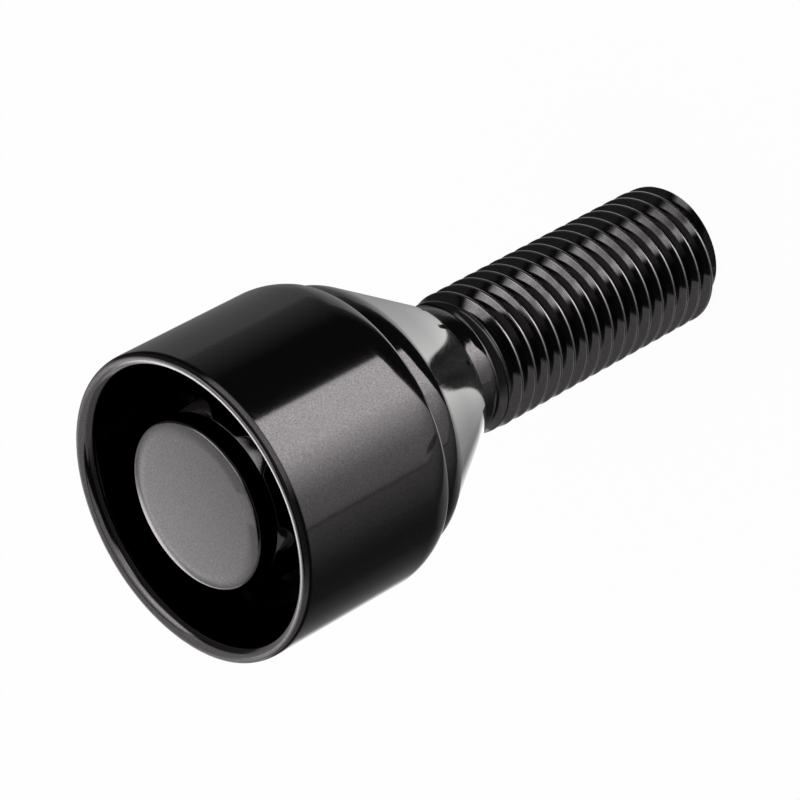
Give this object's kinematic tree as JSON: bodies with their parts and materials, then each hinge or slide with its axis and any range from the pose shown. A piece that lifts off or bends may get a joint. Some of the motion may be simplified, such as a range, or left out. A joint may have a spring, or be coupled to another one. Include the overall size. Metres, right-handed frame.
{
  "type": "locking wheel bolt",
  "caption": "Black steel wheel bolt with a conical seat, a lobed key core under a round cap, and a loose spinning collar round its head.",
  "frame": {"origin": "centre of the flat thread end, on the bolt's axis, at the lowest point", "axes": "+Z along the axis from the thread end to the head, +X and +Y across it; the key code's lobes are counted from +X"},
  "size_m": [0.0252, 0.0252, 0.0542],
  "materials": {
    "bolt_steel": "satin black coating over forged and rolled steel, brighter on the turned seat",
    "collar_steel": "satin black coating with a fine grain over turned steel"
  },
  "bodies": {
    "bolt_body": {"bolt": "bolt_steel"},
    "collar_body": {"collar": "collar_steel"}
  },
  "joints": [
    {"name": "collar_spin", "type": "hinge", "parent": "bolt_body", "child": "collar_body", "pos_m": [0, 0, 0.0406], "axis": [0, 0, 1], "continuous": true}
  ]
}
